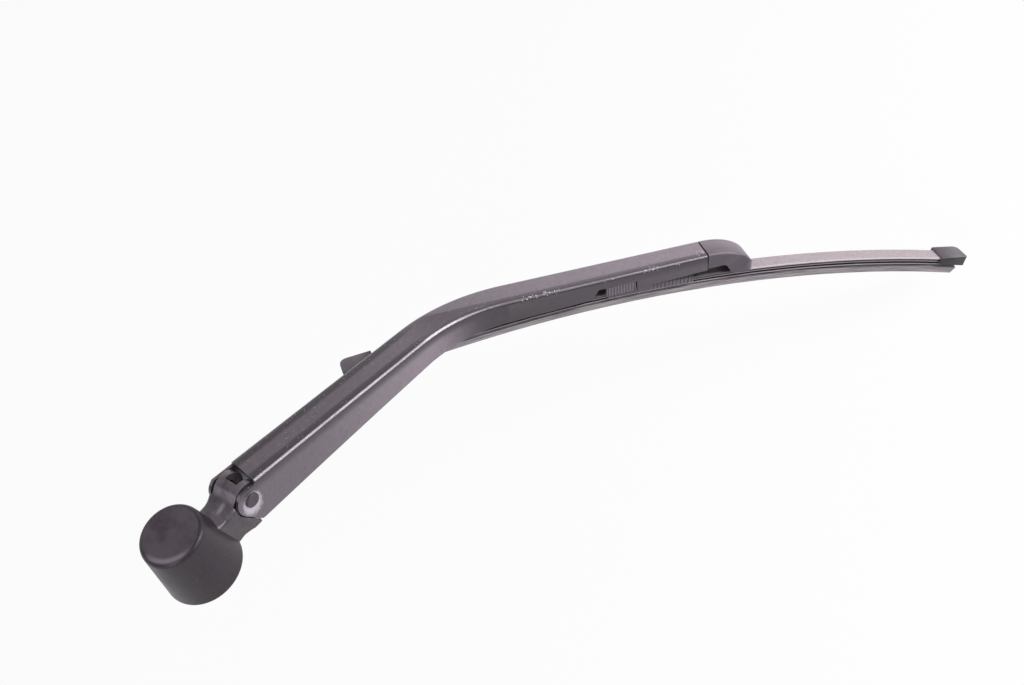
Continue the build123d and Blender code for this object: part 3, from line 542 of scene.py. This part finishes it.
rivet_dark, tree, shader = new_finish("rivet_dark")
fine, broad = grain_on(tree, fine_scale=1300.0, broad_scale=420.0)
rivet = blend_colour(tree, broad, rivet_black, rivet_grey)
rub = rub_on(tree, width=0.0005, patch_scale=500.0, amount=0.6)
rivet = blend_colour(tree, rub, rivet, rivet_edge)
shader.inputs["Metallic"].default_value = 0.45
finish_skin(tree, shader, rivet, fine, broad, gloss=(0.32, 0.5), depth=0.00008, strength=0.6)
dress("hinge_rivet", rivet_dark)

# Spring link and anchor: bent steel strip, zinc plated, the anchor spot-welded under the top plate.
# The plating has gone dull, with a brownish bloom where water stands.
dull_zinc = metal_finish(
    "dull_zinc",
    grain=(1500.0, 180.0),
    colours=((0.42, 0.41, 0.39), (0.26, 0.21, 0.17)),
    metal=0.8,
    gloss=(0.35, 0.55),
    depth=0.00005,
)
for strip in ("spring_link", "spring_anchor"):
    dress(strip, dull_zinc)

# Tension spring: close-wound round steel wire with a loop at each end, oiled and dark.
# One loop hooks into the link, the other into the anchor.
pin = Vector(joints["link_swing"]["pos_m"])
anchor_along = 0.096
anchor_drop = 0.0011
anchor = hinge + arm_along * anchor_along - arm_up * anchor_drop
pull = (anchor - pin).normalized()
pull_length = (anchor - pin).length
rise = far_side.cross(pull)
wire_r = 0.0009
drawn_r = wire_r * 0.98
coil_r = 0.0044 - wire_r
loop_r = 0.0034
link_reach = 0.024
lead = 0.0018
coil_from = link_reach + loop_r + lead
coil_to = pull_length - loop_r - lead
turns = round((coil_to - coil_from) / (2.0 * wire_r))
loop_steps = 24
turn_steps = 18
widening = 8.0
least_widening = 0.001


def spring_point(along, up, across=0.0):
    return pin + pull * along + rise * up + far_side * across


path = []
for step in range(loop_steps + 1):
    swing = math.pi * step / loop_steps
    path.append(spring_point(link_reach + loop_r - loop_r * math.sin(swing), -loop_r * math.cos(swing)))
for step in range(turns * turn_steps + 1):
    share = step / (turns * turn_steps)
    angle = 2.0 * math.pi * turns * share
    wide = min(1.0, widening * share, widening * (1.0 - share) + least_widening)
    radius = loop_r + (coil_r - loop_r) * wide
    along = coil_from + (coil_to - coil_from) * share
    path.append(spring_point(along, radius * math.cos(angle), radius * math.sin(angle)))
for step in range(loop_steps + 1):
    swing = math.pi * step / loop_steps
    path.append(spring_point(pull_length - loop_r + loop_r * math.sin(swing), loop_r * math.cos(swing)))

curve = bpy.data.curves.new("spring_wire", "CURVE")
curve.dimensions = "3D"
curve.bevel_depth = drawn_r
curve.bevel_resolution = 3
curve.use_fill_caps = True
wire = curve.splines.new("POLY")
wire.points.add(len(path) - 1)
for point, at in zip(wire.points, path):
    point.co = (*at, 1.0)
drawn = bpy.data.objects.new("spring_wire_path", curve)
scene.collection.objects.link(drawn)
bpy.context.view_layer.update()
wound = bpy.data.meshes.new_from_object(drawn.evaluated_get(bpy.context.evaluated_depsgraph_get()))
bpy.data.objects.remove(drawn)
smooth(wound)
spring_wire = bpy.data.objects.new("spring_coil", wound)
scene.collection.objects.link(spring_wire)

oiled_wire = metal_finish(
    "oiled_wire",
    grain=(1900.0, 140.0),
    colours=((0.12, 0.115, 0.11), (0.26, 0.23, 0.2)),
    metal=0.85,
    gloss=(0.25, 0.45),
    depth=0.00003,
)
coat(wound, oiled_wire)
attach(spring_wire, "link")
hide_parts("tension_spring")

# Adapter: one moulding in grey-black plastic, with the rounded nose and the two release tabs.
# It snaps into the arm's end; the nose is weathered to a dull grey on top, with painted shade darker
# towards its front edge.
adapter_dark = (0.064, 0.052, 0.065)
adapter_cloudy = (0.11, 0.090, 0.111)
adapter_weathered = (0.31, 0.262, 0.295)
adapter_tab = (0.2, 0.172, 0.2)
adapter_edge = (0.2, 0.18, 0.2)
weather_lean = (0.2, 0.95)
nose_to_front = (-0.003, 0.004)
tabs_end = (-0.034, -0.030)
tab_amount = 0.6

adapter_plastic, tree, shader = new_finish("adapter_plastic")
where = place_on_piece(tree)
fine, broad = grain_on(tree, fine_scale=2100.0, broad_scale=140.0)
moulding = blend_colour(tree, broad, adapter_dark, adapter_cloudy)
weather_shaded = ramp_between(tree, lean(tree, arm_up), weather_lean)
weather_shaded = times(tree, weather_shaded, graded(tree, broad, gain=0.7, start=0.25))
# Painted shade: less of the weathered grey towards the nose's front edge
to_front = ramp_between(tree, measure_along(tree, where, tip, -tip_across), nose_to_front)
weather_shaded = times(tree, weather_shaded, graded(tree, to_front, gain=-0.4, start=1.0))
moulding = blend_colour(tree, weather_shaded, moulding, adapter_weathered)
on_tabs = without(tree, ramp_between(tree, measure_along(tree, where, tip, tip_along), tabs_end))
moulding = blend_colour(tree, times(tree, on_tabs, tab_amount), moulding, adapter_tab)
rub = rub_on(tree, width=0.0009, patch_scale=300.0, amount=0.35)
moulding = blend_colour(tree, rub, moulding, adapter_edge)
finish_skin(tree, shader, moulding, fine, broad, gloss=(0.36, 0.5), depth=0.00005)
shader.inputs["Specular Tint"].default_value = (1.0, 0.9, 1.0, 1.0)
dress("blade_adapter", adapter_plastic, sharp_from=28.0)

# Pivot pin and bracket: a steel pin pressed into the adapter carries a black moulded bracket,
# which is clamped on the blade and grooved down its sides for grip.
bracket_dark = (0.10, 0.086, 0.10)
bracket_grey = (0.17, 0.148, 0.17)
bracket_edge = (0.24, 0.21, 0.24)
bracket_shadow = (0.030, 0.026, 0.030)
bracket_shadow_from = (-0.0002, 0.0009)
blade_tilt = math.radians(3.4)
blade_along = tip_along * math.cos(blade_tilt) - arm_up * math.sin(blade_tilt)
blade_up = tip_along * math.sin(blade_tilt) + arm_up * math.cos(blade_tilt)
tip_past_middle = 0.0143
tip_over_blade = 0.0133
bow_radius = 0.680
bow_centre = tip - blade_along * tip_past_middle - blade_up * (tip_over_blade + bow_radius)


def over_blade(tree, where):
    """Height of a surface point over the bowed back of the blade."""
    shift = vector(tree, "SUBTRACT", where, bow_centre)["Vector"]
    across = vector(tree, "PROJECT", shift, tip_across)["Vector"]
    in_plane = vector(tree, "SUBTRACT", shift, across)["Vector"]
    return number(tree, "SUBTRACT", vector(tree, "LENGTH", in_plane)["Value"], bow_radius)


dress("pivot_pin", bright_pin)
bracket_plastic, tree, shader = new_finish("bracket_plastic")
height = over_blade(tree, place_on_piece(tree))
fine, broad = grain_on(tree, fine_scale=1900.0, broad_scale=200.0)
bracket = blend_colour(tree, broad, bracket_dark, bracket_grey)
rub = rub_on(tree, width=0.0004, patch_scale=420.0, amount=0.5)
bracket = blend_colour(tree, rub, bracket, bracket_edge)
# Painted shadow: the bracket's upper part is darker where the arm's wall hangs over it
bracket = blend_colour(tree, ramp_between(tree, height, bracket_shadow_from), bracket, bracket_shadow)
finish_skin(tree, shader, bracket, fine, broad, gloss=(0.42, 0.6), depth=0.00005)
dress("blade_bracket", bracket_plastic)

# Rails: two strips of flat spring steel, bowed, one in each side groove of the rubber.
# Only their blackened edges show, as a thin dark line along the blade.
rail_steel = metal_finish(
    "rail_steel",
    grain=(1400.0, 110.0),
    colours=((0.030, 0.026, 0.030), (0.075, 0.066, 0.075)),
    metal=0.5,
    gloss=(0.35, 0.55),
    depth=0.00004,
)
for rail in ("rail_near", "rail_far"):
    dress(rail, rail_steel)

# Rubber element: one extruded profile with a flat back, side grooves for the rails and a wiping lip.
# Sun has bleached the back to a pinkish grey beyond the arm's shade, and under the arm the back is
# darkened by a painted shadow; the flanks are dull, with streaks along their length, and the deep
# places between back and lip are darkened by painted shade.
rubber_dull = (0.17, 0.148, 0.166)
rubber_streak = (0.42, 0.375, 0.41)
rubber_ridge = (0.52, 0.455, 0.50)
rubber_recess_shade = (0.028, 0.024, 0.028)
rubber_shaded = (0.07, 0.06, 0.068)
rubber_bleached = (0.37, 0.31, 0.335)
rubber_palest = (0.49, 0.42, 0.455)
rubber_rim = (0.62, 0.54, 0.58)
streaks_per_height = 900.0
streaks_per_length = 30.0
streak_limits = (0.34, 0.66)
ridge_height = (-0.0052, -0.0048)
ridge_amount = 0.7
recess_rise = (-0.0062, -0.0058)
recess_fall = (-0.0033, -0.0030)
recess_half_width = (0.0024, 0.0028)
sun_from = (0.016, 0.026)
back_height = (-0.0009, -0.0006)
pale_limits = (0.30, 0.70)
rim_half_width = (0.0034, 0.0040)
rim_amount = 0.6

rubber_skin, tree, shader = new_finish("rubber_skin")
where = place_on_piece(tree)
height = over_blade(tree, where)
sideways = number(tree, "ABSOLUTE", measure_along(tree, where, bow_centre, tip_across))
along = measure_along(tree, where, tip, tip_along)
fine, broad = grain_on(tree, fine_scale=1500.0, broad_scale=85.0)
drawn_out = tree.nodes.new("ShaderNodeCombineXYZ")
tree.links.new(times(tree, height, streaks_per_height), drawn_out.inputs["X"])
tree.links.new(times(tree, along, streaks_per_length), drawn_out.inputs["Y"])
streaks = mottle(tree, drawn_out.outputs["Vector"], scale=1.6, detail=5.0)
rubber = blend_colour(tree, ramp_between(tree, streaks, streak_limits), rubber_dull, rubber_streak)
ridges = times(tree, ramp_between(tree, height, ridge_height), ridge_amount)
rubber = blend_colour(tree, ridges, rubber, rubber_ridge)
# Painted shade: the recessed middle of the profile between back and lip
between = band_between(tree, height, rise=recess_rise, fall=recess_fall)
in_recess = without(tree, ramp_between(tree, sideways, recess_half_width))
rubber = blend_colour(tree, times(tree, between, in_recess), rubber, rubber_recess_shade)
in_sun = ramp_between(tree, along, sun_from)
on_back = ramp_between(tree, height, back_height)
# Painted shadow: the back is darker under the arm and adapter
rubber = blend_colour(tree, times(tree, on_back, without(tree, in_sun)), rubber, rubber_shaded)
patchy = ramp_between(tree, mottle(tree, where, scale=700.0, detail=3.0, rough=0.7), pale_limits)
pale_back = blend_colour(tree, patchy, rubber_bleached, rubber_palest)
at_rim = times(tree, ramp_between(tree, sideways, rim_half_width), rim_amount)
pale_back = blend_colour(tree, at_rim, pale_back, rubber_rim)
bleached = times(tree, times(tree, on_back, in_sun), graded(tree, broad, gain=0.7, start=0.55))
rubber = blend_colour(tree, bleached, rubber, pale_back)
finish_skin(tree, shader, rubber, fine, broad, gloss=(0.5, 0.7), depth=0.00005, strength=0.5)
dress("wiper_rubber", rubber_skin)

# End caps: small black mouldings, open underneath, snapped over the ends of the rails.
# In plan the far corner is swept round and the near one only eased, and the roof falls to the far side.
cap_dark = (0.022, 0.019, 0.022)
cap_cloudy = (0.052, 0.045, 0.052)
cap_dulled_and_lit = (0.21, 0.185, 0.21)
cap_edge = (0.3, 0.27, 0.3)
cap_top_lean = (0.45, 0.9)
cap_half_width = 0.0054
cap_slot_half = 0.0038
far_sweep = 0.0045
near_ease = 0.0014
sweep_steps = 10
sweep_limit = 0.985
sweep_fullness = 2.8
roof_depth = 0.0025
roof_fall = 0.0005
seam = 1e-6
cut_snap = 2e-5
sliver = 2e-6


def share_of(length, to_end):
    """0 until a length before the end, rising to nearly 1 at the end."""
    return min(sweep_limit, max(0.0, 1.0 - to_end / length))


def rounded_cap(node, name):
    """A cap's solid copied, with its outer end rounded in plan and its roof let down there."""
    skin = frame["nodes"][node].data.copy()
    middle = sum((point.co for point in skin.vertices), Vector()) / len(skin.vertices)
    out = middle - bow_centre
    raised = (out - tip_across * out.dot(tip_across)).normalized()
    outward = tip_across.cross(raised)
    if outward.dot(middle - tip) < 0.0:
        outward.negate()
    end = max(outward.dot(point.co) for point in skin.vertices)
    roof = max(raised.dot(point.co) for point in skin.vertices)
    shape = bmesh.new()
    shape.from_mesh(skin)
    bmesh.ops.remove_doubles(shape, verts=shape.verts[:], dist=seam)
    for step in range(sweep_steps):
        cut = end - far_sweep * (1.0 - math.sin(0.5 * math.pi * step / sweep_steps))
        bmesh.ops.bisect_plane(
            shape,
            geom=shape.verts[:] + shape.edges[:] + shape.faces[:],
            dist=cut_snap,
            plane_co=outward * cut,
            plane_no=outward,
        )
    for point in shape.verts:
        to_end = end - outward.dot(point.co)
        sideways = tip_across.dot(point.co - bow_centre)
        swept = share_of(far_sweep, to_end)
        eased = share_of(near_ease, to_end)
        if raised.dot(point.co) > roof - roof_depth:
            to_far_side = 0.5 + 0.5 * sideways / cap_half_width
            point.co -= raised * (roof_fall * swept * swept * to_far_side)
        if sideways > cap_slot_half:
            kept = (1.0 - swept**sweep_fullness) ** (1.0 / sweep_fullness)
            point.co -= tip_across * (sideways * (1.0 - kept))
        if sideways < -cap_slot_half:
            narrowed = near_ease * (1.0 - math.sqrt(1.0 - eased * eased))
            point.co -= tip_across * (sideways * narrowed / cap_half_width)
    bmesh.ops.remove_doubles(shape, verts=shape.verts[:], dist=sliver)
    bmesh.ops.dissolve_degenerate(shape, edges=shape.edges[:], dist=sliver)
    bmesh.ops.triangulate(shape, faces=shape.faces[:])
    shape.to_mesh(skin)
    shape.free()
    smooth(skin, sharp_from=38.0)
    cap_piece = bpy.data.objects.new(name, skin)
    scene.collection.objects.link(cap_piece)
    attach(cap_piece, "blade")
    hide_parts(node)
    return cap_piece


cap_plastic, tree, shader = new_finish("cap_plastic")
fine, broad = grain_on(tree, fine_scale=2000.0, broad_scale=180.0)
cap = blend_colour(tree, broad, cap_dark, cap_cloudy)
# Lighter on top: dulled plastic, with a painted reflection on the roof as well
dulled_and_lit = graded(tree, broad, gain=0.7, start=0.35)
dulled_and_lit = times(tree, dulled_and_lit, ramp_between(tree, lean(tree, upwards), cap_top_lean))
cap = blend_colour(tree, dulled_and_lit, cap, cap_dulled_and_lit)
rub = rub_on(tree, width=0.0008, patch_scale=360.0, amount=0.4)
cap = blend_colour(tree, rub, cap, cap_edge)
finish_skin(tree, shader, cap, fine, broad, gloss=(0.34, 0.5), depth=0.00005)
for end_cap, name in (("end_cap_inner", "inner_cap"), ("end_cap_outer", "outer_cap")):
    coat(rounded_cap(end_cap, name).data, cap_plastic)

# Floor: a plain white studio sweep, far wider than the picture.
# It lies well below the lowest pose of the blade, and shows nearly white wherever it is seen itself.
floor_reach = 60.0
floor_z = -0.185
floor_grey = (0.86, 0.86, 0.86, 1.0)
floor_whitened = 0.9


def seen_itself(tree):
    """1 where a thing is looked at, straight, mirrored or through a clear piece; 0 for its light."""
    look = tree.nodes.new("ShaderNodeLightPath").outputs
    shown = number(tree, "MAXIMUM", look["Is Camera Ray"], look["Is Glossy Ray"])
    return number(tree, "MAXIMUM", shown, look["Is Transmission Ray"])


floor_mesh = bpy.data.meshes.new("studio_floor")
floor_mesh.from_pydata(
    [
        (-floor_reach, -floor_reach, floor_z),
        (floor_reach, -floor_reach, floor_z),
        (floor_reach, floor_reach, floor_z),
        (-floor_reach, floor_reach, floor_z),
    ],
    [],
    [(0, 1, 2, 3)],
)
floor = bpy.data.objects.new("studio_floor", floor_mesh)
scene.collection.objects.link(floor)
floor_white, tree, shader = new_finish("floor_white")
shader.inputs["Base Color"].default_value = floor_grey
shader.inputs["Roughness"].default_value = 0.9
lit = tree.nodes.new("ShaderNodeEmission")
lit.inputs["Strength"].default_value = 1.0
pale = tree.nodes.new("ShaderNodeMixShader")
tree.links.new(times(tree, seen_itself(tree), floor_whitened), pale.inputs["Fac"])
tree.links.new(shader.outputs["BSDF"], pale.inputs[1])
tree.links.new(lit.outputs["Emission"], pale.inputs[2])
tree.links.new(pale.outputs["Shader"], tree.nodes["Material Output"].inputs["Surface"])
coat(floor_mesh, floor_white)

# Studio light: a dim even room with one pale wall behind, and the floor's white carried on above the
# horizon, so that a low view shows no grey band.
# A long soft box stands at the front right, and a small one on the left.
room_low = (0.34, 0.34, 0.34)
room_high = (0.55, 0.55, 0.55)
room_rise = (0.3, 0.9)
room_wall = (1.0, 1.0, 1.0)
wall_heading = Vector((0.9, 0.4, 0.17))
wall_spread = (0.88, 0.995)
room_horizon = (0.935, 0.935, 0.935)
horizon_rise = (0.10, 0.22)
lit_middle = Vector((0.15, -0.04, -0.04))

room = bpy.data.worlds.new("studio_room")
scene.world = room
room.use_nodes = True
tree = room.node_tree
sky = tree.nodes["Background"]
heading = tree.nodes.new("ShaderNodeTexCoord").outputs["Generated"]
upward = vector(tree, "DOT_PRODUCT", heading, upwards)["Value"]
behind = vector(tree, "DOT_PRODUCT", heading, wall_heading)["Value"]
level = blend_colour(tree, ramp_between(tree, upward, room_rise), room_low, room_high)
level = blend_colour(tree, ramp_between(tree, behind, wall_spread), level, room_wall)
near_horizon = without(tree, ramp_between(tree, upward, horizon_rise))
level = blend_colour(tree, times(tree, seen_itself(tree), near_horizon), level, room_horizon)
tree.links.new(level, sky.inputs["Color"])
sky.inputs["Strength"].default_value = 1.0


def soft_box(name, heading, distance, long_axis, length, width, power):
    """A soft box seen from the part's middle in a heading, its long side along an axis."""
    back = Vector(heading).normalized()
    along = Vector(long_axis)
    along = (along - back * along.dot(back)).normalized()
    turn = Matrix((along, back.cross(along), back)).transposed()
    lamp = bpy.data.lights.new(name, "AREA")
    lamp.shape = "RECTANGLE"
    lamp.size = length
    lamp.size_y = width
    lamp.energy = power
    box = bpy.data.objects.new(name, lamp)
    box.matrix_world = Matrix.Translation(lit_middle + back * distance) @ turn.to_4x4()
    scene.collection.objects.link(box)


soft_box(
    "front_right_box",
    heading=(0.55, -0.68, 0.48),
    distance=1.15,
    long_axis=(-0.757, -0.02, 0.653),
    length=0.95,
    width=0.24,
    power=10.0,
)
soft_box(
    "left_box",
    heading=(-0.81, -0.28, 0.48),
    distance=1.2,
    long_axis=(0.0, 0.0, 1.0),
    length=0.5,
    width=0.16,
    power=3.0,
)

# Camera: at the photograph's place, looking down on the part from its near side.
# The photograph is 1024 by 685 picture points, and the focal length is given in the same points.
picture_width = 1024.0
focal_pixels = 1400.0
camera_at = Vector((-0.04988, -0.35792, 0.48247))
ahead = Vector((0.3286, 0.4964, -0.8035)).normalized()
right = Vector((0.5454, -0.7943, -0.2677))
right = (right - ahead * right.dot(ahead)).normalized()
up = right.cross(ahead)

lens = bpy.data.cameras.new("camera")
lens.sensor_fit = "HORIZONTAL"
lens.sensor_width = 36.0
lens.lens = focal_pixels / picture_width * lens.sensor_width
lens.clip_start = 0.01
lens.clip_end = 200.0
camera = bpy.data.objects.new("camera", lens)
turn = Matrix((right, up, -ahead)).transposed()
camera.matrix_world = Matrix.Translation(camera_at) @ turn.to_4x4()
scene.collection.objects.link(camera)
scene.camera = camera
